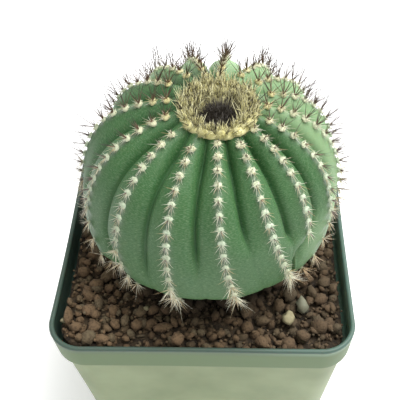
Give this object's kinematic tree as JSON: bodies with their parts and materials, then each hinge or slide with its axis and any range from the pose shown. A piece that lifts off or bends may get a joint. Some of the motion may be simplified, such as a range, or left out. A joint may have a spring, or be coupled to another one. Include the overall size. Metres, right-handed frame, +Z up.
{
  "type": "potted ball cactus",
  "caption": "Ribbed ball cactus with woolly tufts, pale spines and a woolly crown, growing in lava grit in a square plastic nursery pot with a stepped lip.",
  "frame": {"origin": "centre of the pot's base, on the surface that it stands on", "axes": "+Z up, -Y towards the front of the pot, +X to the right seen from the front"},
  "size_m": [0.09, 0.09, 0.1411],
  "materials": {
    "pot_plastic": "thin pale green polypropylene, satin, slightly translucent",
    "lava_grit": "matt porous reddish-brown lava grains",
    "green_skin": "waxy green skin with fine pale flecks, cream wool tufts and straw-coloured spines",
    "wool": "felted cream and yellow wool",
    "dark_spine": "near-black bristle"
  },
  "bodies": {
    "root": {"pot": "pot_plastic", "soil": "lava_grit", "cactus_stem": "green_skin", "crown_wool": "wool", "crown_spines": "dark_spine"}
  },
  "joints": []
}
